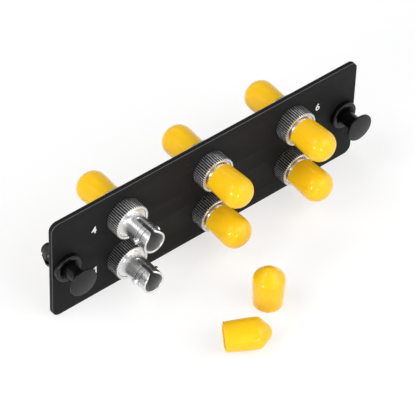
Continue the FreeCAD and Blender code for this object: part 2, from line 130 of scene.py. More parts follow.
class PlateSettings(bpy.types.PropertyGroup):
    corner_radius: length("Corner radius", "Radius of the plate's four corners", 2.5 * MM)
    edge_radius: length("Edge radius", "Rounding that the powder coat leaves on every edge", 0.2 * MM)
    port_hole: length("Port hole", "Diameter of the holes for the adapters' shanks", 9.7 * MM)
    port_flat: length("Port flat", "Distance of a port hole's flat from its middle", 4.25 * MM)
    latch_hole: length("Latch hole", "Diameter of the holes for the latches", 6.5 * MM)
    digit_height: length("Digit height", "Height of the printed port numbers", 2.5 * MM)
    digit_gap: length("Digit gap", "From a port's axis to the near edge of its number", 9.15 * MM)
    ink_thickness: length("Ink thickness", "Thickness of the ink, half of it sunk in the coat", 0.03 * MM)
    coat: colour("Coat", "Colour of the powder coat", "#151516")
    # The lighter colour on the plate's rounded edges is a painted highlight.
    edge_coat: colour("Painted edge highlight", "Colour painted on the plate's rounded edges as a highlight", "#4A4A4B")
    ink: colour("Ink", "Colour of the printed numbers", "#EDEDEB")


class AdapterSettings(bpy.types.PropertyGroup):
    barrel_diameter: length("Barrel", "Outer diameter of the barrels", 7.0 * MM)
    socket_diameter: length("Socket", "Inner diameter of the barrels", 5.8 * MM)
    barrel_length: length("Barrel length", "From the nut's face to the mouth", 9.7 * MM)
    socket_depth: length("Socket depth", "From the mouth to the web", 8.7 * MM)
    mouth_radius: length("Mouth radius", "Rounding of the mouth's rim", 0.16 * MM)
    edge_radius: length("Slot edge radius", "Rounding of the key slot's edges", 0.14 * MM)
    keyway_width: length("Key slot", "Width of the key slot", 1.15 * MM)
    keyway_setback: length("Key slot setback", "From the shoulder to the slot's round end", 2.05 * MM)
    flare_width: length("Flare width", "Width of the key slot at the mouth", 4.5 * MM)
    flare_depth: length("Flare depth", "Length of the key slot's flare", 1.1 * MM)
    lug_diameter: length("Lug", "Diameter of the bayonet lugs", 1.8 * MM)
    lug_across: length("Across lugs", "Distance over the two lugs", 8.5 * MM)
    lug_setback: length("Lug setback", "From the shoulder to the lugs", 5.95 * MM)
    sleeve_bore: length("Sleeve bore", "Diameter of the bore that holds the alignment sleeve", 3.26 * MM)
    ferrule_bore: length("Ferrule bore", "Diameter of the hole in the web at the socket's end", 2.9 * MM)
    spigot_diameter: length("Spigot", "Diameter of the rear half's spigot", 6.0 * MM)
    spigot_length: length("Spigot length", "Length of the rear half's spigot", 2.68 * MM)
    flange_across: length("Flange", "Hexagonal flange across its flats", 10.7 * MM)
    shank_diameter: length("Shank", "Diameter of the threaded shank", 9.4 * MM)
    shank_flat: length("Shank flat", "Depth of the flat under the shank", 0.6 * MM)
    nut_diameter: length("Nut", "Diameter of the nut over its knurl", NUT_HIGH.x - NUT_LOW.x)
    knurl_depth: length("Knurl depth", "Depth of the nut's knurl", 0.3 * MM)
    knurl_teeth: bpy.props.IntProperty(
        name="Knurl teeth", description="Number of teeth round the nut", default=48, min=12, max=96
    )
    nickel: colour("Nickel", "Colour of the bright nickel plate", "#E6E6E6")
    zirconia: colour("Zirconia", "Colour of the alignment sleeves", "#EFEDE6")


class CapSettings(bpy.types.PropertyGroup):
    wall: length("Wall", "Thickness of a fitted cap's wall at its mouth", 0.85 * MM)
    end_wall: length("End wall", "Thickness of a fitted cap's end", 0.9 * MM)
    swell: length("Swell", "How much a fitted cap's radius grows from its mouth", 0.32 * MM)
    swell_length: length("Swell length", "From a fitted cap's mouth to its widest part", 6.25 * MM)
    end_radius: length("End radius", "Rounding of a fitted cap's end", 3.7 * MM)
    drip_height: length("Drip height", "Height of the drop left on a cap's end by dipping", 0.12 * MM)
    drip_radius: length("Drip radius", "Spread of the drop left on a cap's end", 1.1 * MM)
    ridge_radius: length("Ridge radius", "Roundness of the ridge over a lug", 2.2 * MM)
    ridge_wall: length("Ridge wall", "Thickness of the skin over a lug", 0.35 * MM)
    loose_mouth: length("Loose mouth", "Outer diameter of a loose cap's mouth", 8.45 * MM)
    loose_diameter: length("Loose diameter", "Largest diameter of a loose cap", 9.15 * MM)
    loose_length: length("Loose length", "Length of a loose cap", 13.2 * MM)
    loose_taper: length("Loose taper", "Length over which a loose cap widens", 6.4 * MM)
    loose_wall: length("Loose wall", "Thickness of a loose cap's wall", 0.8 * MM)
    loose_end_wall: length("Loose end wall", "Thickness of a loose cap's tip", 1.1 * MM)
    loose_shoulder: length("Loose shoulder", "Rounding of a loose cap's shoulder", 2.2 * MM)
    loose_tip: length("Loose tip", "Rounding of a loose cap's tip", 3.1 * MM)
    lying_turn: direction("Lying turn", "Direction of the cap that lies on its side", 58.5)
    vinyl: colour("Vinyl", "Colour of the vinyl caps", "#FAC41A")


class LatchSettings(bpy.types.PropertyGroup):
    head_diameter: length("Head", "Diameter of the plunger's head", PLUNGER_HIGH.x - PLUNGER_LOW.x)
    head_crown: length("Crown", "How far the head's face domes", 0.35 * MM)
    head_rim: length("Rim", "Thickness of the head at its rim", 0.55 * MM)
    flare_length: length("Flare length", "From the head's rim to the plain stem", 3.0 * MM)
    stem_diameter: length("Stem", "Diameter of the plunger's stem", 4.4 * MM)
    tail_diameter: length("Tail", "Diameter of the plunger's tail", 3.0 * MM)
    bead_diameter: length("Bead", "Diameter of the bead on the tail's end", 3.7 * MM)
    bead_length: length("Bead length", "Length of the bead on the tail's end", 1.0 * MM)
    nylon: colour("Nylon", "Colour of the latches", "#0B0B0C")


class StageSettings(bpy.types.PropertyGroup):
    azimuth: direction("Azimuth", "Camera's turn round the panel, from straight in front", -40.96)
    elevation: direction("Elevation", "Camera's height over the horizon", 44.702)
    roll: direction("Roll", "Camera's lean", 2.156)
    distance: length("Distance", "From the panel's middle to the camera", 782.24 * MM)
    shift_right: length("Shift right", "How far the camera stands to the right", 0.981 * MM, low=-1)
    shift_up: length("Shift up", "How far the camera stands up", -6.586 * MM, low=-1)
    focal_pixels: bpy.props.FloatProperty(
        name="Focal length", description="Camera's focal length in pixels of the picture",
        default=2797.2, min=1,
    )
    picture_pixels: bpy.props.FloatProperty(
        name="Picture width", description="Width of the square picture in pixels", default=416, min=1
    )
    floor_radius: length("Floor radius", "Radius of the round floor with its wall", 1.6)
    floor_bend: length("Floor bend", "Radius of the bend between floor and wall", 0.5)
    wall_height: length("Wall height", "Height of the wall round the floor", 0.9)
    floor: colour("Floor", "Colour of the floor", "#EDEDED")


def add_node(tree, kind, sockets=None, ends=(), **settings):
    """Adds a node with its settings and, on a ramp, its end colours, and sets or links its input sockets.

    A socket is linked where its value is another socket, or a node, which stands for its first output.
    """
    made = tree.nodes.new(kind)
    for name, value in settings.items():
        setattr(made, name, value)
    for element, end in zip(made.color_ramp.elements if ends else (), ends):
        element.color = end
    for socket, value in (sockets or {}).items():
        if isinstance(value, bpy.types.Node):
            value = value.outputs[0]
        if isinstance(value, bpy.types.NodeSocket):
            tree.links.new(value, made.inputs[socket])
        else:
            made.inputs[socket].default_value = value
    return made


def empty_material(name):
    """A material with nothing in its node tree."""
    material = bpy.data.materials.new(name)
    material.use_nodes = True
    material.node_tree.nodes.clear()
    return material


def material_of(build):
    """The material whose shader a function builds, with that function's name. It is made at its first use."""
    material = bpy.data.materials.get(build.__name__)
    if material is None:
        material = empty_material(build.__name__)
        tree = material.node_tree
        place = add_node(tree, "ShaderNodeTexCoord").outputs["Object"]
        add_node(tree, "ShaderNodeOutputMaterial", {"Surface": build(tree, place)})
    return material


def noise_scale(size_mm):
    """The scale of a noise texture whose features are about size_mm across."""
    return 1 / (size_mm * MM)


def wave_scale(spacing_mm):
    """The scale of a wave texture whose bands are spacing_mm apart."""
    return FULL_TURN / WAVE_RADIANS / (spacing_mm * MM)


def rgba(rgb, factor=1.0):
    """A colour made darker or lighter by a factor, with full alpha."""
    return [min(1.0, c * factor) for c in rgb] + [1.0]


def black_powder_coat_on_sheet_steel(tree, place):
    """Sheet steel with a baked black powder coat: satin, with a faint orange peel that breaks up lights."""
    coat = bpy.context.scene.adapter_plate.coat
    # The peel's swells are a millimetre or so apart. The grain on them is some 0.1 mm, and is drawn at
    # 0.35 mm so that it shows.
    peel = add_node(tree, "ShaderNodeTexNoise", {"Vector": place, "Scale": noise_scale(1.3), "Detail": 2.0})
    grain = add_node(tree, "ShaderNodeTexNoise", {"Vector": place, "Scale": noise_scale(0.35), "Detail": 3.0})
    tint = add_node(tree, "ShaderNodeValToRGB", {"Fac": grain}, (rgba(coat, 0.86), rgba(coat, 1.14)))
    sheen = add_node(tree, "ShaderNodeMapRange", {"Value": peel, "To Min": 0.6, "To Max": 0.7})
    swell = add_node(tree, "ShaderNodeBump", {"Height": peel, "Strength": 0.12, "Distance": 0.05 * MM})
    skin = add_node(tree, "ShaderNodeBump", {
        "Height": grain, "Normal": swell, "Strength": 0.2, "Distance": 0.02 * MM,
    })
    return add_node(tree, "ShaderNodeBsdfPrincipled", {
        "Base Color": tint, "Roughness": sheen, "Specular IOR Level": 0.15, "Normal": skin,
    })


def powder_coat_thinned_over_edges(tree, place):
    """Powder coat on the plate's rounded edges, lightened as a painted highlight: a paler line round the
    plate.
    """
    coat = bpy.context.scene.adapter_plate.edge_coat
    # The painted highlight is uneven along the edge, in stretches of 2 or 3 mm.
    draw = add_node(tree, "ShaderNodeTexNoise", {"Vector": place, "Scale": noise_scale(2.5), "Detail": 2.0})
    tint = add_node(tree, "ShaderNodeValToRGB", {"Fac": draw}, (rgba(coat, 0.6), rgba(coat, 1.3)))
    return add_node(tree, "ShaderNodeBsdfPrincipled", {"Base Color": tint, "Roughness": 0.45})


def bright_nickel_plate_on_turned_brass(tree, place):
    """Bright nickel plate over turned brass: the lathe's fine rings stretch the lights along the barrels."""
    nickel = bpy.context.scene.adapter_ports.nickel
    # Turning marks are some 0.05 mm apart on the part, and are drawn 0.2 mm apart so that they show.
    marks = add_node(
        tree, "ShaderNodeTexWave", {"Vector": place, "Scale": wave_scale(0.2), "Distortion": 0.3},
        wave_type="BANDS", bands_direction="Y",
    )
    # The nickel clouds over a couple of millimetres.
    film = add_node(tree, "ShaderNodeTexNoise", {"Vector": place, "Scale": noise_scale(2.0), "Detail": 3.0})
    gloss = add_node(tree, "ShaderNodeMapRange", {"Value": film, "To Min": 0.25, "To Max": 0.3})
    round_about = add_node(tree, "ShaderNodeTangent", direction_type="RADIAL", axis="Y")
    tint = add_node(tree, "ShaderNodeValToRGB", {"Fac": film}, (rgba(nickel, 0.95), rgba(nickel, 1.04)))
    cut = add_node(tree, "ShaderNodeBump", {
        "Height": marks.outputs["Fac"], "Strength": 0.05, "Distance": 0.01 * MM,
    })
    return add_node(tree, "ShaderNodeBsdfPrincipled", {
        "Base Color": tint, "Metallic": 1.0, "Roughness": gloss, "Anisotropic": 0.6,
        "Anisotropic Rotation": 0.25, "Tangent": round_about, "Normal": cut,
    })


def thin_nickel_plate_in_drilled_bore(tree, place):
    """Nickel plate inside a bore, with painted shade: the barrel darkens inward from its mouth."""
    settings = bpy.context.scene.adapter_ports
    nickel, mouth = settings.nickel, -settings.barrel_length
    along = add_node(tree, "ShaderNodeSeparateXYZ", {"Vector": place}).outputs["Y"]
    # The painted shade is at its darkest 5 mm in.
    depth = add_node(tree, "ShaderNodeMapRange", {
        "Value": along, "From Min": mouth, "From Max": mouth + 5 * MM,
    })
    tint = add_node(tree, "ShaderNodeValToRGB", {"Fac": depth}, (rgba(nickel), rgba(nickel, 0.5)))
    return add_node(tree, "ShaderNodeBsdfPrincipled", {
        "Base Color": tint, "Metallic": 1.0, "Roughness": 0.46,
    })


def bright_nickel_plate_on_rolled_knurl(tree, place):
    """Bright nickel plate on a rolled knurl: the rounded crest of each tooth is one bright stripe."""
    nickel = bpy.context.scene.adapter_ports.nickel
    # The nickel clouds over a millimetre or two.
    film = add_node(tree, "ShaderNodeTexNoise", {"Vector": place, "Scale": noise_scale(1.5), "Detail": 3.0})
    gloss = add_node(tree, "ShaderNodeMapRange", {"Value": film, "To Min": 0.26, "To Max": 0.3})
    tint = add_node(tree, "ShaderNodeValToRGB", {"Fac": film}, (rgba(nickel, 0.95), rgba(nickel, 1.04)))
    round_about = add_node(tree, "ShaderNodeTangent", direction_type="RADIAL", axis="Y")
    return add_node(tree, "ShaderNodeBsdfPrincipled", {
        "Base Color": tint, "Metallic": 1.0, "Roughness": gloss, "Anisotropic": 0.8,
        "Anisotropic Rotation": 0.25, "Tangent": round_about,
    })


def bright_nickel_plate_on_faced_end(tree, place):
    """Nickel plate on a faced end: feed marks scatter the light, so the nuts' faces look evenly white."""
    nickel = bpy.context.scene.adapter_ports.nickel
    # The nickel clouds over a millimetre or two.
    film = add_node(tree, "ShaderNodeTexNoise", {"Vector": place, "Scale": noise_scale(1.5), "Detail": 2.0})
    tint = add_node(tree, "ShaderNodeValToRGB", {"Fac": film}, (rgba(nickel, 0.97), rgba(nickel, 1.06)))
    return add_node(tree, "ShaderNodeBsdfPrincipled", {
        "Base Color": tint, "Metallic": 1.0, "Roughness": 0.55,
    })


def unbuffed_nickel_plate_in_grooves(tree, place):
    """Nickel plate in grooves, darkened as painted shade: a dull dark grey between bright crests."""
    nickel = bpy.context.scene.adapter_ports.nickel
    # The painted shade is patchy, in patches under a millimetre long.
    film = add_node(tree, "ShaderNodeTexNoise", {"Vector": place, "Scale": noise_scale(0.8), "Detail": 2.0})
    tint = add_node(tree, "ShaderNodeValToRGB", {"Fac": film}, (rgba(nickel, 0.08), rgba(nickel, 0.16)))
    return add_node(tree, "ShaderNodeBsdfPrincipled", {
        "Base Color": tint, "Metallic": 1.0, "Roughness": 0.5,
    })


def ground_white_zirconia(tree, place):
    """Sintered and ground zirconia: dense white ceramic with a soft polish."""
    zirconia = bpy.context.scene.adapter_ports.zirconia
    # The ceramic's grain is far under 0.01 mm, and is drawn at 0.3 mm so that it shows.
    ground = add_node(tree, "ShaderNodeTexNoise", {"Vector": place, "Scale": noise_scale(0.3), "Detail": 2.0})
    tint = add_node(tree, "ShaderNodeValToRGB", {"Fac": ground}, (rgba(zirconia, 0.95), rgba(zirconia)))
    gloss = add_node(tree, "ShaderNodeMapRange", {"Value": ground, "To Min": 0.25, "To Max": 0.35})
    return add_node(tree, "ShaderNodeBsdfPrincipled", {"Base Color": tint, "Roughness": gloss, "IOR": 2.1})


def yellow_dip_moulded_vinyl(tree, place):
    """Soft yellow PVC, dip moulded: light sinks in a little way, and the skin shows small clear lights."""
    vinyl = bpy.context.scene.adapter_caps.vinyl
    # The dip leaves slow swells some 3 mm apart and a haze of fine specks, drawn at 0.4 mm so that it shows.
    swell = add_node(tree, "ShaderNodeTexNoise", {"Vector": place, "Scale": noise_scale(3.0), "Detail": 1.0})
    haze = add_node(tree, "ShaderNodeTexNoise", {"Vector": place, "Scale": noise_scale(0.4), "Detail": 2.0})
    tint = add_node(tree, "ShaderNodeValToRGB", {"Fac": swell}, (rgba(vinyl, 0.94), rgba(vinyl, 1.05)))
    gloss = add_node(tree, "ShaderNodeMapRange", {"Value": haze, "To Min": 0.13, "To Max": 0.18})
    skin = add_node(tree, "ShaderNodeBump", {"Height": swell, "Strength": 0.25, "Distance": 0.2 * MM})
    return add_node(tree, "ShaderNodeBsdfPrincipled", {
        "Base Color": tint, "Roughness": gloss, "IOR": 1.52, "Specular IOR Level": 0.26,
        "Subsurface Weight": 0.25, "Subsurface Radius": (1.0, 0.5, 0.2), "Subsurface Scale": 0.4 * MM,
        "Normal": skin,
    })


def black_moulded_nylon(tree, place):
    """Injection moulded black nylon: a soft satin skin with the tool's faint spark grain."""
    nylon = bpy.context.scene.adapter_latches.nylon
    # Spark grain is some 0.05 mm, and is drawn at 0.25 mm so that it shows. Flow marks are some 4 mm apart.
    grain = add_node(tree, "ShaderNodeTexNoise", {"Vector": place, "Scale": noise_scale(0.25), "Detail": 2.0})
    flow = add_node(tree, "ShaderNodeTexNoise", {"Vector": place, "Scale": noise_scale(4.0), "Detail": 1.0})
    tint = add_node(tree, "ShaderNodeValToRGB", {"Fac": flow}, (rgba(nylon, 0.85), rgba(nylon, 1.15)))
    gloss = add_node(tree, "ShaderNodeMapRange", {"Value": flow, "To Min": 0.24, "To Max": 0.32})
    skin = add_node(tree, "ShaderNodeBump", {"Height": grain, "Strength": 0.18, "Distance": 0.02 * MM})
    return add_node(tree, "ShaderNodeBsdfPrincipled", {
        "Base Color": tint, "Roughness": gloss, "IOR": 1.53, "Specular IOR Level": 0.28, "Normal": skin,
    })


def white_screen_ink(tree, place):
    """White screen-printing ink: flat, a little thin where the mesh left it."""
    ink = bpy.context.scene.adapter_plate.ink
    # The screen's mesh is some 0.1 mm, and is drawn at 0.3 mm so that it shows.
    mesh = add_node(tree, "ShaderNodeTexNoise", {"Vector": place, "Scale": noise_scale(0.3), "Detail": 1.0})
    tint = add_node(tree, "ShaderNodeValToRGB", {"Fac": mesh}, (rgba(ink, 0.88), rgba(ink)))
    return add_node(tree, "ShaderNodeBsdfPrincipled", {"Base Color": tint, "Roughness": 0.6})


def rounded(corners, steps=4):
    """The outline through (radius, y, fillet) corners, each fillet drawn as an arc. The ends stay sharp."""
    spots = [Vector(corner[:2]) for corner in corners]
    reaches = [0.0] * len(spots)
    for k in range(1, len(spots) - 1):
        fillet = corners[k][2] if len(corners[k]) > 2 else 0
        reaches[k] = fillet / math.tan((spots[k - 1] - spots[k]).angle(spots[k + 1] - spots[k]) / 2)
    # Two fillets that would overlap on the side between them are drawn smaller.
    for k in range(len(spots) - 1):
        taken = reaches[k] + reaches[k + 1]
        side = (spots[k + 1] - spots[k]).length
        if taken > side:
            reaches[k] *= FILLET_SHARE * side / taken
            reaches[k + 1] *= FILLET_SHARE * side / taken
    points = spots[:1]
    for k in range(1, len(spots) - 1):
        if reaches[k] == 0:
            points.append(spots[k])
            continue
        back, on = (spots[k - 1] - spots[k]).normalized(), (spots[k + 1] - spots[k]).normalized()
        centre = spots[k] + (back + on).normalized() * reaches[k] / math.cos(back.angle(on) / 2)
        first, last = spots[k] + back * reaches[k] - centre, spots[k] + on * reaches[k] - centre
        radius = first.length
        first, last = first.normalized(), last.normalized()
        points += [centre + radius * first.slerp(last, step / steps) for step in range(steps + 1)]
    return points + spots[-1:]


def divided(points, step):
    """The same outline with points added, so that no stretch is longer than step."""
    out = [points[0]]
    for first, last in zip(points, points[1:]):
        count = max(1, math.ceil((last - first).length / step))
        out += [first.lerp(last, k / count) for k in range(1, count + 1)]
    return out


def spread(first, last, count):
    """Evenly spaced values from first to last, with count steps between them."""
    return [first + (last - first) * k / count for k in range(count + 1)]


def ease(share):
    """A smooth step from 0 to 1 as share goes from 0 to 1."""
    share = min(1, max(0, share))
    return share * share * (3 - 2 * share)


def soft_over(value, blend):
    """The value where it is over 0, or else 0, with the bend rounded over a blend either side."""
    if value >= blend:
        return value
    return (value + blend) ** 2 / (4 * blend) if value > -blend else 0


def box_of(spots):
    """The lowest and the highest corner of the box round some points."""
    return Vector(map(min, zip(*spots))), Vector(map(max, zip(*spots)))


def middle_of(node):
    """The middle of a CAD node's box."""
    low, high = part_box(node)
    return (low + high) / 2


def round_angles(count):
    """Angles round the Y axis, from +Z towards +X."""
    return spread(0, FULL_TURN, count)[:-1]


def join_rings(bm, rings, closed=True):
    """Lays faces between each ring of vertices and the next. A closed ring's last vertex meets its first."""
    for first, second in zip(rings, rings[1:]):
        for k in range(len(first) if closed else len(first) - 1):
            n = (k + 1) % len(first)
            bm.faces.new((first[k], first[n], second[n], second[k]))


def turned(bm, outline, angles, shape=None, place=Matrix.Identity(4)):
    """Turns an outline of (radius, y) points about Y. shape may change the radius at (radius, y, angle)."""
    rings = []
    for point in outline:
        ring = []
        for angle in angles:
            radius = shape(point.x, point.y, angle) if shape else point.x
            spot = Vector((radius * math.sin(angle), point.y, radius * math.cos(angle)))
            ring.append(bm.verts.new(place @ spot))
        rings.append(ring)
    join_rings(bm, rings)


def to_mesh(bm, name, *builds):
    """Closes the seams of a built form and gives it materials and smooth faces with sharp corners."""
    bmesh.ops.remove_doubles(bm, verts=bm.verts, dist=SAME_SPOT)
    bmesh.ops.recalc_face_normals(bm, faces=bm.faces)
    mesh = bpy.data.meshes.new(name)
    bm.to_mesh(mesh)
    bm.free()
    mesh.polygons.foreach_set("use_smooth", [True] * len(mesh.polygons))
    mesh.set_sharp_from_angle(angle=SHARP_ANGLE)
    for build in builds:
        mesh.materials.append(material_of(build))
    return mesh


def away_from_axis(spot):
    """How far a point is from the Y axis."""
    return math.hypot(spot.x, spot.z)


def put(mesh, name, body, place=Matrix.Identity(4)):
    """Shows a mesh as a piece that moves with a CAD body."""
    piece = bpy.data.objects.new(name, mesh)
    bpy.context.scene.collection.objects.link(piece)
    piece.matrix_world = place
    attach(piece, body)
    return piece


def stand_for(mesh, node, place=Matrix.Identity(4)):
    """Shows a mesh in place of the CAD node whose form it keeps."""
    piece = put(mesh, node + "_finished", frame["nodes"][node]["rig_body"], place)
    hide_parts(node)


def dress(node, build):
    """Gives a CAD node that is shown as it is its real material."""
    mesh = frame["nodes"][node].data
    mesh.materials.clear()
    mesh.materials.append(material_of(build))


def port_place(port, y=0.0, turn=0.0):
    """Where a port's axis crosses the plane at y, turned about the upright."""
    middle = middle_of(f"knurled_nut_{port}")
    return Matrix.Translation((middle.x, y, middle.z)) @ Matrix.Rotation(turn, 4, "Z")


class PlateOperator(bpy.types.Operator):
    """Builds the plate with its rounded edges and holes"""

    bl_idname = "adapter_panel.plate"
    bl_label = "Build plate"

    EDGE_STEPS = 3
    # The faces of rounded edges are those whose normals lie along Y by a share between these.
    LEAST_LEAN, MOST_LEAN = 0.1, 0.95

    def execute(self, context):
        settings = context.scene.adapter_plate
        edge = settings.edge_radius
        outlines = [lambda inset: self.rim(settings, inset)]
        for port in PORTS:
            middle = port_place(port).translation
            outlines.append(lambda inset, at=middle: self.port_hole(settings, at, inset))
        for side in LATCH_SIDES:
            middle = middle_of(f"{side}_latch_plunger")
            outlines.append(lambda inset, at=middle: self.latch_hole(settings, at, inset))
        bm = bmesh.new()
        front_loops, rear_loops = [], []
        for outline in outlines:
            rings = []
            for face, inward in ((PLATE_LOW.y, 1), (PLATE_HIGH.y, -1)):
                levels = []
                for bend in spread(0, QUARTER_TURN, self.EDGE_STEPS):
                    inset, depth = edge * (1 - math.sin(bend)), edge * (1 - math.cos(bend))
                    levels.append([bm.verts.new((x, face + inward * depth, z)) for x, z in outline(inset)])
                rings += levels[::inward]
            join_rings(bm, rings)
            front_loops.append(rings[0])
            rear_loops.append(rings[-1])
        for loops in (front_loops, rear_loops):
            vertices = [v for loop in loops for v in loop]
            for corners in tessellate_polygon([[v.co for v in loop] for loop in loops]):
                bm.faces.new([vertices[k] for k in corners])
        mesh = to_mesh(bm, "plate", black_powder_coat_on_sheet_steel, powder_coat_thinned_over_edges)
        # The rounded edges' faces take the lighter colour, a painted highlight.
        for face in mesh.polygons:
            if self.LEAST_LEAN < abs(face.normal.y) < self.MOST_LEAN:
                face.material_index = 1
        stand_for(mesh, "panel_plate")
        return {"FINISHED"}

    @staticmethod
    def rim(settings, inset, steps=8):
        """Outline of the plate, drawn in by inset."""
        radius = settings.corner_radius
        reach = radius - inset
        half_x, half_z = PLATE_HIGH.x - radius, PLATE_HIGH.z - radius
        points = []
        for quarter, (right, up) in enumerate(((1, 1), (-1, 1), (-1, -1), (1, -1))):
            for angle in spread(quarter * QUARTER_TURN, (quarter + 1) * QUARTER_TURN, steps):
                x, z = right * half_x + reach * math.cos(angle), up * half_z + reach * math.sin(angle)
                points.append((x, z))
        return points

    @staticmethod
    def port_hole(settings, at, inset, steps=64):
        """Outline of a port's hole, which has a flat at its bottom, widened by inset."""
        radius, flat = settings.port_hole / 2 + inset, settings.port_flat + inset
        corner = math.acos(flat / radius)
        angles = spread(-QUARTER_TURN + corner, FULL_TURN - QUARTER_TURN - corner, steps)
        return [(at.x + radius * math.cos(a), at.z + radius * math.sin(a)) for a in angles]

    @staticmethod
    def latch_hole(settings, at, inset, steps=48):
        """Outline of a latch's round hole, widened by inset."""
        radius = settings.latch_hole / 2 + inset
        return [(at.x + radius * math.cos(a), at.z + radius * math.sin(a)) for a in round_angles(steps)]


class DigitsOperator(bpy.types.Operator):
    """Prints the port numbers at the plate's two ends"""

    bl_idname = "adapter_panel.digits"
    bl_label = "Print digits"

    # A share of the typeface's size that is added round each digit.
    BOLDER = 0.02
    # A 1 with a flag, in shares of its height.
    ONE = ((0.22, 0), (0.4, 0), (0.4, 1), (0.24, 1), (0, 0.84), (0, 0.68), (0.22, 0.8))

    def execute(self, context):
        settings = context.scene.adapter_plate
        for port, side in NUMBERED_PORTS.items():
            axis = port_place(port).translation
            mesh = self.flagged_one() if port == 1 else self.typed(context, port)
            spots = [vertex.co.copy() for vertex in mesh.vertices]
            low, high = box_of(spots)
            scale = settings.digit_height / (high.y - low.y)
            middle = (low + high) / 2
            centre = axis.x + side * (settings.digit_gap + (high.x - low.x) / 2 * scale)
            for vertex, spot in zip(mesh.vertices, spots):
                x, up, out = spot - middle
                depth = PLATE_LOW.y - settings.ink_thickness * (0.5 if out > 0 else -0.5)
                vertex.co = (centre + x * scale, depth, axis.z + up * scale)
            mesh.materials.clear()
            mesh.materials.append(material_of(white_screen_ink))
            put(mesh, f"digit_{port}", "panel")
        return {"FINISHED"}

    def typed(self, context, port):
        """A digit set in Blender's own typeface, made bolder."""
        text = bpy.data.curves.new(f"digit_{port}", "FONT")
        text.body = str(port)
        text.offset = self.BOLDER
        # Any depth will do here, because the ink's own thickness takes its place.
        text.extrude = 1
        drawn = bpy.data.objects.new(f"digit_{port}_drawn", text)
        context.scene.collection.objects.link(drawn)
        context.view_layer.update()
        mesh = bpy.data.meshes.new_from_object(drawn.evaluated_get(context.evaluated_depsgraph_get()))
        bpy.data.objects.remove(drawn)
        return mesh

    def flagged_one(self):
        """A 1 with a flag, which Blender's own typeface lacks."""
        bm = bmesh.new()
        back, front = ([bm.verts.new((x, up, out)) for x, up in self.ONE] for out in (-1, 1))
        join_rings(bm, [back, front])
        bm.faces.new(front)
        bm.faces.new(back[::-1])
        bmesh.ops.recalc_face_normals(bm, faces=bm.faces)
        mesh = bpy.data.meshes.new("digit_1")
        bm.to_mesh(mesh)
        bm.free()
        return mesh


class NutsOperator(bpy.types.Operator):
    """Builds the six round nuts with their straight knurl"""

    bl_idname = "adapter_panel.nuts"
    bl_label = "Build nuts"

    COLUMNS_A_TOOTH = 12
    # The bore's room round the shank, its countersink, the rim's chamfer and the rounding of these edges.
    CLEARANCE = 0.05 * MM
    SINK = 0.12 * MM
    CHAMFER = 0.06 * MM
    SOFT = 0.03 * MM
    # A faced end's normal lies along Y by more than this share.
    FACED = 0.9

    def execute(self, context):
        settings = context.scene.adapter_ports
        rim, depth = settings.nut_diameter / 2, NUT_HIGH.y - NUT_LOW.y
        bore = settings.shank_diameter / 2 + self.CLEARANCE
        sink, chamfer, soft = self.SINK, self.CHAMFER, self.SOFT
        outline = rounded([
            (bore, depth / 2),
            (bore, sink, soft),
            (bore + sink, 0, soft),
            (rim - chamfer, 0, soft),
            (rim, chamfer, soft),
            (rim, depth - chamfer, soft),
            (rim - chamfer, depth, soft),
            (bore + sink, depth),
            (bore, depth - sink),
            (bore, depth / 2),
        ], steps=2)
        columns = settings.knurl_teeth * self.COLUMNS_A_TOOTH
        # Half a column on, so that each crest and root is a small flat.
        angles = [angle + FULL_TURN / columns / 2 for angle in round_angles(columns)]

        def shape(radius, y, angle):
            return min(radius, rim - settings.knurl_depth * (1 - math.cos(settings.knurl_teeth * angle)) / 2)

        bm = bmesh.new()
        turned(bm, outline, angles, shape)
        mesh = to_mesh(
            bm, "nut", bright_nickel_plate_on_rolled_knurl, unbuffed_nickel_plate_in_grooves,
            bright_nickel_plate_on_faced_end,
        )
        # Faces in the knurl's roots are coloured dark, as painted shade.
        lowest, half_way = rim - settings.knurl_depth - soft, rim - settings.knurl_depth / 2
        for face in mesh.polygons:
            if abs(face.normal.y) > self.FACED:
                face.material_index = 2
            elif lowest < away_from_axis(face.center) < half_way:
                face.material_index = 1
        for port in PORTS:
            stand_for(mesh, f"knurled_nut_{port}", port_place(port, NUT_LOW.y))
        return {"FINISHED"}


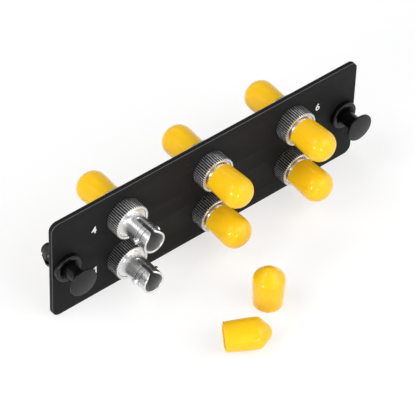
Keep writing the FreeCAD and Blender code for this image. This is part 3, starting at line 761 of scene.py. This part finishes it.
class HousingsOperator(bpy.types.Operator):
    """Builds both halves of each adapter: barrels with key slots and lugs, shanks and hexagonal flanges"""

    bl_idname = "adapter_panel.housings"
    bl_label = "Build housings"

    COLUMNS = 96
    LUG_COLUMNS = 28
    SLOT_STEPS = 3
    # Rows of vertices at the mouth, along the flare, the slot and its round end, and in the edge behind.
    MOUTH_ROWS, FLARE_ROWS, SLOT_ROWS, END_ROWS, EDGE_ROWS = 4, 14, 9, 8, 4
    FLARE_BLEND = 0.22 * MM
    FLARE_CORNER = 0.3 * MM
    # Two fine lines cut round each barrel, as distances from its mouth. They are coloured dark, as painted
    # shade in the cut.
    LINES = (2.6 * MM, 4.2 * MM)
    LINE_WIDTH = 0.18 * MM
    LINE_DEPTH = 0.01 * MM
    # Thickness of the lip that stops the alignment sleeve.
    WEB_LIP = 0.6 * MM
    # The shank's end lies so far behind the nut's face.
    SHANK_SINK = 0.12 * MM
    SHANK_CHAMFER = 0.15 * MM
    # The counterbore is a little wider and deeper than the spigot in it.
    SPIGOT_CLEARANCE = 0.02 * MM
    # The flange's rear corners are turned off: (in from the corner, short of the end) along the turned edge.
    FLANGE_CROWN = ((0, 0.35 * MM), (0.2 * MM, 0.22 * MM), (0.4 * MM, 0.1 * MM), (0.65 * MM, 0))
    # How far a lug reaches into the barrel's wall, and the rounding of its end.
    LUG_ROOT = 0.3 * MM
    LUG_EDGE = 0.2 * MM
    # Rounding of the other turned edges.
    FINE_EDGE = 0.06 * MM
    SOFT_EDGE = 0.1 * MM
    SOCKET_EDGE = 0.12 * MM

    def execute(self, context):
        settings = context.scene.adapter_ports
        outer, inner = settings.barrel_diameter / 2, settings.socket_diameter / 2
        shoulder = HOUSING_LOW.y + settings.barrel_length
        web = settings.socket_depth - settings.barrel_length
        bore, lip_bore = settings.sleeve_bore / 2, settings.ferrule_bore / 2
        socket_end = [
            (bore, web + self.WEB_LIP),
            (lip_bore, web + self.WEB_LIP),
            (lip_bore, web, self.FINE_EDGE),
            (inner, web, self.SOCKET_EDGE),
            (inner, -settings.keyway_setback),
        ]
        barrel_end = (outer, settings.edge_radius - settings.keyway_setback)

        sink, chamfer = self.SHANK_SINK, self.SHANK_CHAMFER
        shank, point = settings.shank_diameter / 2, settings.flange_across / math.sqrt(3)
        flange_front, flange_rear = -shoulder, HOUSING_HIGH.y - shoulder
        spigot, spigot_end = settings.spigot_diameter / 2, settings.spigot_length
        counterbore, seat = spigot + self.SPIGOT_CLEARANCE, flange_rear - spigot_end - self.SPIGOT_CLEARANCE
        front_end = rounded([
            barrel_end,
            (outer, sink, self.SOFT_EDGE),
            (shank - chamfer, sink, self.FINE_EDGE),
            (shank, sink + chamfer, self.FINE_EDGE),
            (shank, flange_front),
            (point, flange_front),
        ] + [(point - inward, flange_rear - short) for inward, short in self.FLANGE_CROWN] + [
            (counterbore, flange_rear),
            (counterbore, seat),
            (bore, seat),
        ] + socket_end)
        rear_end = rounded([
            barrel_end,
            (outer, 0, self.FINE_EDGE),
            (spigot, 0),
            (spigot, spigot_end, self.SOFT_EDGE),
            (bore, spigot_end),
        ] + socket_end)
        flat = shank - settings.shank_flat

        def front_shape(radius, y, angle):
            if radius > shank + HAIR:
                lean = (angle + math.pi / 6) % (math.pi / 3) - math.pi / 6
                return min(radius, settings.flange_across / 2 / math.cos(lean))
            if y > sink - HAIR and radius > outer and math.cos(angle) < -flat / radius:
                return -flat / math.cos(angle)
            return radius

        front = self.housing_mesh(settings, "front_housing", front_end, front_shape)
        rear = self.housing_mesh(settings, "rear_housing", rear_end, None)
        for port in PORTS:
            stand_for(front, f"front_housing_{port}", port_place(port, shoulder))
            place = port_place(port, HOUSING_HIGH.y, math.pi)
            stand_for(rear, f"rear_housing_{port}", place)
        return {"FINISHED"}

    def housing_mesh(self, settings, name, rear_end, shape):
        """A barrel with its shoulder at y = 0 and its mouth toward -Y, and the outline behind the slot."""
        bm = bmesh.new()
        self.slotted_barrel(bm, settings)
        turned(bm, rear_end, round_angles(self.COLUMNS), shape)
        wall = settings.barrel_diameter / 2
        radius, tip, root = settings.lug_diameter / 2, settings.lug_across / 2, wall - self.LUG_ROOT
        lug = rounded([(0, -tip), (radius, -tip, self.LUG_EDGE), (radius, -root), (0, -root)], steps=5)
        at_lugs = Matrix.Translation((0, -settings.lug_setback, 0))
        for side in (-1, 1):
            place = at_lugs @ Matrix.Rotation(side * QUARTER_TURN, 4, "Z")
            turned(bm, lug, round_angles(self.LUG_COLUMNS), place=place)
        mesh = to_mesh(
            bm, name, bright_nickel_plate_on_turned_brass, thin_nickel_plate_in_drilled_bore,
            unbuffed_nickel_plate_in_grooves,
        )
        # Faces inside the bore take nickel darkened inward as painted shade, and the fine lines take the dark
        # painted shade of the grooves.
        bore = settings.socket_diameter / 2 + 2 * HAIR
        for face in mesh.polygons:
            if face.center.y >= 0:
                continue
            away = away_from_axis(face.center)
            from_mouth = face.center.y + settings.barrel_length
            if away < bore:
                face.material_index = 1
            elif away < wall and self.from_line(from_mouth) < self.LINE_WIDTH / 2:
                face.material_index = 2
        return mesh

    def from_line(self, from_mouth):
        """How far a place along the barrel is from the nearer of the two fine lines."""
        return min(abs(from_mouth - line) for line in self.LINES)

    def slotted_barrel(self, bm, settings):
        """The barrel from its mouth to behind the key slot, as rows at distances from the mouth."""
        edge, mouth = settings.edge_radius, settings.mouth_radius
        apex = settings.barrel_length - settings.keyway_setback
        half = settings.keyway_width / 2
        flare_end = settings.flare_depth + 2 * self.FLARE_BLEND
        rows = [mouth * (1 - math.cos(t)) for t in spread(0, QUARTER_TURN, self.MOUTH_ROWS)]
        rows += spread(mouth, flare_end, self.FLARE_ROWS)[1:]
        rows += spread(flare_end, apex - half, self.SLOT_ROWS)[1:]
        rows += [apex - half + half * math.sin(t) for t in spread(0, QUARTER_TURN, self.END_ROWS)][1:]
        rows += spread(apex, apex + edge, self.EDGE_ROWS)[1:]
        rows += [line + side * self.LINE_WIDTH / 2 for line in self.LINES for side in (-1, 0, 1)]
        rows.sort()
        outside, inside = [], []
        for row in rows:
            cut = mouth - math.sqrt(mouth ** 2 - (mouth - row) ** 2) if row < mouth else 0
            radius, socket = settings.barrel_diameter / 2 - cut, settings.socket_diameter / 2 + cut
            if self.from_line(row) < self.LINE_WIDTH / 4:
                radius -= self.LINE_DEPTH
            low = math.acos(max(0, 1 - (row - apex) / edge)) if row > apex else 0
            slot_edge = []
            for bend in spread(low, QUARTER_TURN, self.SLOT_STEPS):
                across = self.slot_half(settings, row, edge * (1 - math.cos(bend)))
                reach = radius - edge * (1 - math.sin(bend))
                slot_edge.append((math.asin(across / reach), reach))
            first = slot_edge[-1][0]
            between = spread(first, FULL_TURN - first, self.COLUMNS)[1:-1]
            around = slot_edge + [(angle, radius) for angle in between]
            around += [(FULL_TURN - angle, reach) for angle, reach in reversed(slot_edge)]
            outside.append(self.row_of(bm, around, row - settings.barrel_length))
            if row <= apex:
                first = math.asin(self.slot_half(settings, row, 0) / socket)
                around = [(angle, socket) for angle in spread(first, FULL_TURN - first, self.COLUMNS)]
                inside.append(self.row_of(bm, around, row - settings.barrel_length))
        join_rings(bm, outside, closed=False)
        join_rings(bm, inside, closed=False)
        for end in (0, -1):
            walls = [[row[end] for row in outside[:len(inside)]], [row[end] for row in inside]]
            join_rings(bm, walls, closed=False)
        rim = outside[0][self.SLOT_STEPS:len(outside[0]) - self.SLOT_STEPS]
        join_rings(bm, [rim, inside[0]], closed=False)
        bm.faces.new([inside[0][0]] + outside[0][:self.SLOT_STEPS + 1])
        bm.faces.new([inside[0][-1]] + outside[0][-self.SLOT_STEPS - 1:])

    @staticmethod
    def row_of(bm, around, y):
        """Vertices at (angle, radius) places round the axis."""
        return [bm.verts.new((r * math.sin(a), y, r * math.cos(a))) for a, r in around]

    def slot_half(self, settings, row, grow):
        """Half the key slot's width at a distance from the mouth, when its outline is grown by so much."""
        half = settings.keyway_width / 2
        end = settings.barrel_length - settings.keyway_setback - half
        if row > end:
            return math.sqrt(max(0, (half + grow) ** 2 - (row - end) ** 2))
        slope = (settings.flare_width - settings.keyway_width) / 2 / settings.flare_depth
        flare = slope * soft_over(settings.flare_depth - row, self.FLARE_BLEND)
        share = min(1, max(0, (settings.flare_depth - row + self.FLARE_BLEND) / (2 * self.FLARE_BLEND)))
        corner = self.FLARE_CORNER
        rounding = corner - math.sqrt(corner ** 2 - (corner - row) ** 2) if row < corner else 0
        return half + flare + grow * math.hypot(1, slope * share) + rounding / 2


class SleevesOperator(bpy.types.Operator):
    """Gives the split alignment sleeves their ceramic"""

    bl_idname = "adapter_panel.sleeves"
    bl_label = "Dress sleeves"

    def execute(self, context):
        for port in PORTS:
            dress(f"alignment_sleeve_{port}", ground_white_zirconia)
        return {"FINISHED"}


class FittedCapsOperator(bpy.types.Operator):
    """Builds the ten vinyl caps that are stretched over barrels and their lugs"""

    bl_idname = "adapter_panel.fitted_caps"
    bl_label = "Build fitted caps"

    COLUMNS = 120
    ROW_STEP = 0.4 * MM
    CLEARANCE = 0.06 * MM
    # The bevel inside the cap's end, and the rounding of its two edges.
    INNER_BEVEL = 1.35 * MM
    BEVEL_END_EDGE = 0.4 * MM
    BEVEL_WALL_EDGE = 0.6 * MM
    # Rounding of the mouth outside and inside, and of the bend where the cap is widest.
    LIP = 0.3 * MM
    INNER_LIP = 0.12 * MM
    SWELL_RADIUS = 30 * MM
    # How softly the ridge over a lug rises, and how far it runs on past the cap's widest part.
    RIDGE_BLEND = 0.3 * MM
    RIDGE_RUN = 1 * MM
    # The channel that a lug slides through: its reach, length and half width, and over what its sides and
    # its end run out.
    CHANNEL_RADIUS = 4.37 * MM
    CHANNEL_LENGTH = 6.12 * MM
    CHANNEL_HALF_WIDTH = math.radians(13.5)
    CHANNEL_SIDE = math.radians(4.5)
    CHANNEL_END = 0.5 * MM

    def execute(self, context):
        settings = context.scene.adapter_caps
        inside = context.scene.adapter_ports.barrel_diameter / 2 + self.CLEARANCE
        mouth = inside + settings.wall
        widest = mouth + settings.swell
        tip = CAP_HIGH.y - CAP_LOW.y
        end, bevel = tip - settings.end_wall, self.INNER_BEVEL
        outline = divided(rounded([
            (0, -end),
            (inside - bevel, -end, self.BEVEL_END_EDGE),
            (inside, -end + bevel, self.BEVEL_WALL_EDGE),
            (inside, 0, self.INNER_LIP),
            (mouth, 0, self.LIP),
            (widest, -settings.swell_length, self.SWELL_RADIUS),
            (widest, -tip, settings.end_radius),
            (0, -tip),
        ], steps=12), self.ROW_STEP)

        def shape(radius, y, angle):
            if y <= -settings.swell_length - self.RIDGE_RUN or radius <= inside - HAIR:
                return radius
            share = ease((radius - inside) / settings.wall)
            skin = mouth + settings.swell * min(1, -y / settings.swell_length)
            outer, inner = self.ridge(settings, skin, angle), self.channel(inside, -y, angle)
            return radius + (outer * share + inner * (1 - share))

        bm = bmesh.new()
        turned(bm, outline, round_angles(self.COLUMNS), shape)
        leave_drip(bm, settings, tip)
        mesh = to_mesh(bm, "fitted_cap", yellow_dip_moulded_vinyl)
        for port in CAPPED_FRONT_PORTS:
            stand_for(mesh, f"front_cap_{port}", port_place(port, CAP_HIGH.y))
        for port in PORTS:
            place = port_place(port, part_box(f"rear_cap_{port}")[0].y, math.pi)
            stand_for(mesh, f"rear_cap_{port}", place)
        return {"FINISHED"}

    def ridge(self, settings, skin, angle):
        """How far the round ridge over a lug stands out of the skin, softly blended into it."""
        offset = self.CHANNEL_RADIUS + settings.ridge_wall - settings.ridge_radius
        across, toward = offset * abs(math.cos(angle)), offset * abs(math.sin(angle))
        if across >= settings.ridge_radius:
            return 0
        rise = toward + math.sqrt(settings.ridge_radius ** 2 - across ** 2) - skin
        return soft_over(rise, self.RIDGE_BLEND)

    def channel(self, inside, along, angle):
        """How far the hollow over a lug is pushed out."""
        lean = math.acos(min(1, abs(math.sin(angle))))
        sideways = 1 - ease((lean - self.CHANNEL_HALF_WIDTH) / self.CHANNEL_SIDE)
        lengthways = 1 - ease((along - self.CHANNEL_LENGTH) / self.CHANNEL_END)
        return (self.CHANNEL_RADIUS - inside) * sideways * lengthways


def leave_drip(bm, settings, tip):
    """Raises the low drop that dipping leaves in the middle of a cap's end, outside only."""
    for vertex in bm.verts:
        spreads = away_from_axis(vertex.co) / settings.drip_radius
        if spreads < DRIP_SPREADS and vertex.co.y < -tip + DRIP_SKIN:
            vertex.co.y -= settings.drip_height * math.exp(-spreads ** 2)


class LooseCapsOperator(bpy.types.Operator):
    """Builds the two caps that were taken off: one stands on its mouth, one lies on its side"""

    bl_idname = "adapter_panel.loose_caps"
    bl_label = "Build loose caps"

    COLUMNS = 96
    ROW_STEP = 0.5 * MM
    LIP = 0.3 * MM
    INNER_EDGE = 0.4 * MM
    TAPER_RADIUS = 20 * MM
    BALL_STEPS = 10

    def execute(self, context):
        settings = context.scene.adapter_caps
        mouth, widest, wall = settings.loose_mouth / 2, settings.loose_diameter / 2, settings.loose_wall
        tip, taper = settings.loose_length, settings.loose_taper
        # The cone stands at 45 degrees, and touches the tip's sphere where that is 45 degrees round.
        cone = tip + settings.loose_tip * (math.sqrt(2) - 1)
        inner_cone, floor = cone - wall * math.sqrt(2), tip - settings.loose_end_wall
        ball = [
            (settings.loose_tip * math.cos(t), settings.loose_tip * (1 - math.sin(t)) - tip)
            for t in spread(math.pi / 4, QUARTER_TURN, self.BALL_STEPS)
        ]
        outline = divided(rounded([
            (0, -floor),
            (inner_cone - floor, -floor, self.INNER_EDGE),
            (widest - wall, widest - wall - inner_cone, settings.loose_shoulder - wall),
            (widest - wall, -taper, self.TAPER_RADIUS),
            (mouth - wall, 0, self.LIP),
            (mouth, 0, self.LIP),
            (widest, -taper, self.TAPER_RADIUS),
            (widest, widest - cone, settings.loose_shoulder),
        ] + ball, steps=8), self.ROW_STEP)
        bm = bmesh.new()
        turned(bm, outline, round_angles(self.COLUMNS))
        leave_drip(bm, settings, tip)
        mesh = to_mesh(bm, "loose_cap", yellow_dip_moulded_vinyl)

        middle = middle_of("loose_cap_standing")
        upright = Matrix.Translation((middle.x, middle.y, FLOOR_Z)) @ Matrix.Rotation(-QUARTER_TURN, 4, "X")
        stand_for(mesh, "loose_cap_standing", upright)
        lean = math.atan((widest - mouth) / taper)
        turn = Matrix.Rotation(settings.lying_turn, 4, "Z") @ Matrix.Rotation(-lean, 4, "X")
        own_low, own_high = box_of([turn @ vertex.co for vertex in mesh.vertices])
        lying = middle_of("loose_cap_lying") - (own_low + own_high) / 2
        lying.z = FLOOR_Z - own_low.z
        stand_for(mesh, "loose_cap_lying", Matrix.Translation(lying) @ turn)
        return {"FINISHED"}


class LatchesOperator(bpy.types.Operator):
    """Builds the latches' plungers and gives their grommets the same nylon"""

    bl_idname = "adapter_panel.latches"
    bl_label = "Build latches"

    COLUMNS = 96
    CROWN_STEPS = 10
    FLARE_STEPS = 12
    # The crown's curve stops at this share of the head's radius, where the rim's rounding takes over.
    CROWN_SHARE = 0.95
    # How sharply the flare behind the head falls away: 1 is a quarter of an ellipse.
    FLARE_POWER = 1.15
    # The plain stem ends so far behind the plate's rear face.
    STEM_END = 0.3 * MM
    SOFT_EDGE = 0.12 * MM
    BEAD_CHAMFER = 0.35 * MM
    BEAD_EDGE = 0.08 * MM
    BEAD_UNDERSIDE_EDGE = 0.05 * MM

    def execute(self, context):
        settings = context.scene.adapter_latches
        rim, stem = settings.head_diameter / 2, settings.stem_diameter / 2
        tail, bead = settings.tail_diameter / 2, settings.bead_diameter / 2
        front, rear = PLUNGER_LOW.y, PLUNGER_HIGH.y
        edge = front + settings.head_crown
        back = edge + settings.head_rim
        bead_start, soft = rear - settings.bead_length, self.SOFT_EDGE
        shares = spread(0, self.CROWN_SHARE, self.CROWN_STEPS)
        crown = [(rim * t, front + settings.head_crown * t ** 2) for t in shares]
        # The flare runs out into the stem.
        flare = [
            (
                stem + (rim - stem - soft) * (1 - math.sin(t)) ** self.FLARE_POWER,
                back + settings.flare_length * (1 - math.cos(t)),
            )
            for t in spread(0, QUARTER_TURN, self.FLARE_STEPS)
        ]
        outline = rounded(crown + [(rim, edge, soft), (rim, back, soft)] + flare + [
            (stem, self.STEM_END, soft),
            (tail, self.STEM_END + stem - tail, soft),
            (tail, bead_start),
            (bead, bead_start, self.BEAD_UNDERSIDE_EDGE),
            (bead, rear - self.BEAD_CHAMFER, self.BEAD_EDGE),
            (bead - self.BEAD_CHAMFER, rear, self.BEAD_EDGE),
            (0, rear),
        ])
        bm = bmesh.new()
        turned(bm, outline, round_angles(self.COLUMNS))
        mesh = to_mesh(bm, "plunger", black_moulded_nylon)
        for side in LATCH_SIDES:
            middle = middle_of(f"{side}_latch_plunger")
            place = Matrix.Translation((middle.x, 0, middle.z))
            stand_for(mesh, f"{side}_latch_plunger", place)
            dress(f"{side}_latch_grommet", black_moulded_nylon)
        return {"FINISHED"}


class StageOperator(bpy.types.Operator):
    """Sets the pale floor, the soft lights and the camera"""

    bl_idname = "adapter_panel.stage"
    bl_label = "Set stage"

    FLOOR_COLUMNS = 96
    BEND_STEPS = 12
    # How strongly the seen floor keeps the shadow, and the light that is added to it to make it white.
    SHADOW_SHARE = 0.45
    FLOOR_LIFT = 0.645
    SURROUND = "#F4F6F9"
    SURROUND_STRENGTH = 0.3
    # Each softbox with its place and width in metres and its power in watts.
    SOFTBOXES = (
        ("left_softbox", (-0.78, -0.19, 0.24), 0.18, 2.8),
        ("top_softbox", (-0.57, 0.18, 0.7), 0.5, 2.6),
        ("front_softbox", (0.25, -0.72, 0.64), 0.8, 4.6),
        ("right_softbox", (0.8, -0.5, 0.3), 1.0, 2.8),
        ("low_softbox", (-0.28, -0.87, 0.06), 0.12, 1.3),
        ("rear_softbox", (0.1, 0.75, 0.6), 0.4, 0.9),
    )

    def execute(self, context):
        settings = context.scene.adapter_stage
        self.lay_floor(context, settings)
        self.hang_lights(context)
        self.place_camera(context, settings)
        context.scene.view_settings.view_transform = "Standard"
        return {"FINISHED"}

    def lay_floor(self, context, settings):
        """A round floor that curves up into a wall, far outside the picture."""
        radius, bend = settings.floor_radius, settings.floor_bend
        outline = [Vector((0, 0))]
        outline += [
            Vector((radius - bend + bend * math.sin(t), bend * (1 - math.cos(t))))
            for t in spread(0, QUARTER_TURN, self.BEND_STEPS)
        ]
        outline.append(Vector((radius, settings.wall_height)))
        bm = bmesh.new()
        upright = Matrix.Translation((0, 0, FLOOR_Z)) @ Matrix.Rotation(QUARTER_TURN, 4, "X")
        turned(bm, outline, round_angles(self.FLOOR_COLUMNS), place=upright)
        mesh = to_mesh(bm, "floor")
        mesh.materials.append(self.matt_white_paper(settings))
        piece = bpy.data.objects.new("floor", mesh)
        context.scene.collection.objects.link(piece)

    def matt_white_paper(self, settings):
        """Uncoated white paper: no gloss. What the camera and bright metal see is lifted to white."""
        material = empty_material("matt_white_paper")
        tree = material.node_tree
        paper = add_node(tree, "ShaderNodeBsdfDiffuse", {"Color": rgba(settings.floor)})
        shade = add_node(tree, "ShaderNodeBsdfDiffuse", {"Color": rgba(settings.floor, self.SHADOW_SHARE)})
        lift = add_node(tree, "ShaderNodeEmission", {"Strength": self.FLOOR_LIFT})
        seen = add_node(tree, "ShaderNodeAddShader", {0: shade, 1: lift})
        path = add_node(tree, "ShaderNodeLightPath").outputs
        surface = paper
        for ray in ("Is Camera Ray", "Is Glossy Ray", "Is Transmission Ray"):
            surface = add_node(tree, "ShaderNodeMixShader", {"Fac": path[ray], 1: surface, 2: seen})
        add_node(tree, "ShaderNodeOutputMaterial", {"Surface": surface})
        return material

    def hang_lights(self, context):
        """Small softboxes at the left and low in front for clear spots of light, broad ones for the rest."""
        world = bpy.data.worlds.new("studio")
        world.use_nodes = True
        surround = world.node_tree.nodes["Background"].inputs
        surround["Color"].default_value = rgba(linear(self.SURROUND))
        surround["Strength"].default_value = self.SURROUND_STRENGTH
        context.scene.world = world
        for name, place, width, power in self.SOFTBOXES:
            light = bpy.data.lights.new(name, "AREA")
            light.size = width
            light.energy = power
            lamp = bpy.data.objects.new(name, light)
            lamp.location = place
            lamp.rotation_euler = (-Vector(place)).to_track_quat("-Z", "Y").to_euler()
            lamp.visible_camera = False
            context.scene.collection.objects.link(lamp)

    @staticmethod
    def place_camera(context, settings):
        """The camera as the photograph's perspective gives it, for a square picture."""
        turn, rise, roll = settings.azimuth, settings.elevation, settings.roll
        back = Vector((math.sin(turn) * math.cos(rise), -math.cos(turn) * math.cos(rise), math.sin(rise)))
        right = Vector((math.cos(turn), math.sin(turn), 0))
        up = back.cross(right)
        right, up = math.cos(roll) * right + math.sin(roll) * up, math.cos(roll) * up - math.sin(roll) * right
        eye = back * settings.distance + right * settings.shift_right + up * settings.shift_up
        camera = bpy.data.cameras.new("camera")
        camera.sensor_width = 36
        camera.lens = camera.sensor_width * settings.focal_pixels / settings.picture_pixels
        camera.clip_start = 0.01
        camera.clip_end = 20
        stand = bpy.data.objects.new("camera", camera)
        context.scene.collection.objects.link(stand)
        stand.matrix_world = Matrix((
            (right.x, up.x, back.x, eye.x),
            (right.y, up.y, back.y, eye.y),
            (right.z, up.z, back.z, eye.z),
            (0, 0, 0, 1),
        ))
        context.scene.camera = stand


OPERATORS = (
    PlateOperator, DigitsOperator, NutsOperator, HousingsOperator, SleevesOperator, FittedCapsOperator,
    LooseCapsOperator, LatchesOperator, StageOperator,
)
SETTINGS = {
    "adapter_plate": PlateSettings,
    "adapter_ports": AdapterSettings,
    "adapter_caps": CapSettings,
    "adapter_latches": LatchSettings,
    "adapter_stage": StageSettings,
}


class AdapterPanel(bpy.types.Panel):
    """Lists the sizes and colours of the adapter panel and the steps that build it"""

    bl_idname = "VIEW3D_PT_adapter_panel"
    bl_label = "Fibre adapter panel"
    bl_space_type = "VIEW_3D"
    bl_region_type = "UI"
    bl_category = "Adapter panel"

    def draw(self, context):
        for group in SETTINGS:
            box = self.layout.box()
            for name in SETTINGS[group].__annotations__:
                box.prop(getattr(context.scene, group), name)
        for operator in OPERATORS:
            self.layout.operator(operator.bl_idname)


CLASSES = (*SETTINGS.values(), *OPERATORS, AdapterPanel)


def register():
    for cls in CLASSES:
        bpy.utils.register_class(cls)
    for group, cls in SETTINGS.items():
        setattr(bpy.types.Scene, group, bpy.props.PointerProperty(type=cls))


def unregister():
    for group in SETTINGS:
        delattr(bpy.types.Scene, group)
    for cls in reversed(CLASSES):
        bpy.utils.unregister_class(cls)


def main():
    register()
    bpy.ops.adapter_panel.plate()
    bpy.ops.adapter_panel.digits()
    bpy.ops.adapter_panel.nuts()
    bpy.ops.adapter_panel.housings()
    bpy.ops.adapter_panel.sleeves()
    bpy.ops.adapter_panel.fitted_caps()
    bpy.ops.adapter_panel.loose_caps()
    bpy.ops.adapter_panel.latches()
    bpy.ops.adapter_panel.stage()


if __name__ == "__main__":
    main()
